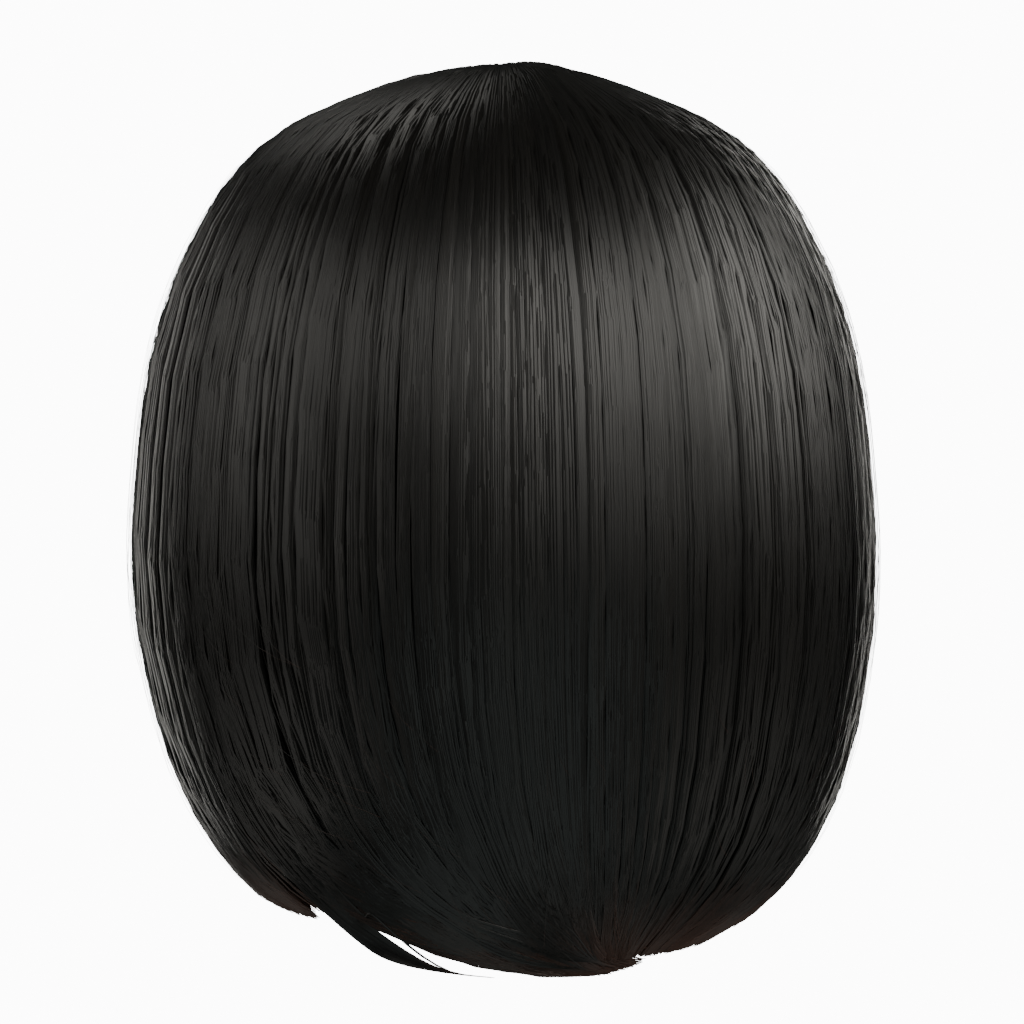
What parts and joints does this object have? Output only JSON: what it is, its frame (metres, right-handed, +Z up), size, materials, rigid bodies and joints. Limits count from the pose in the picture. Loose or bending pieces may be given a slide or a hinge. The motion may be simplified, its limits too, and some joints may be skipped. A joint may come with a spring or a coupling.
{
  "type": "bob wig",
  "caption": "Chin-length bob wig with a rounded outline, turned-under ends and a full fringe, on a thin cap that fits over the head.",
  "frame": {"origin": "where the top of the head meets the inside of the cap", "axes": "+Z up out of the crown, the wearer facing -Y, the wearer's left at +X"},
  "size_m": [0.2147, 0.2331, 0.2594],
  "materials": {
    "hair": "straight near-black synthetic hair with a soft sheen",
    "net": "matt black stretch net",
    "scalp": "matt grey-beige parting strip"
  },
  "bodies": {
    "root": {"cap_crown": "net", "cap_band": "net", "parting": "scalp", "hair_back": "hair", "hair_left": "hair", "hair_right": "hair", "fringe": "hair"}
  },
  "joints": []
}
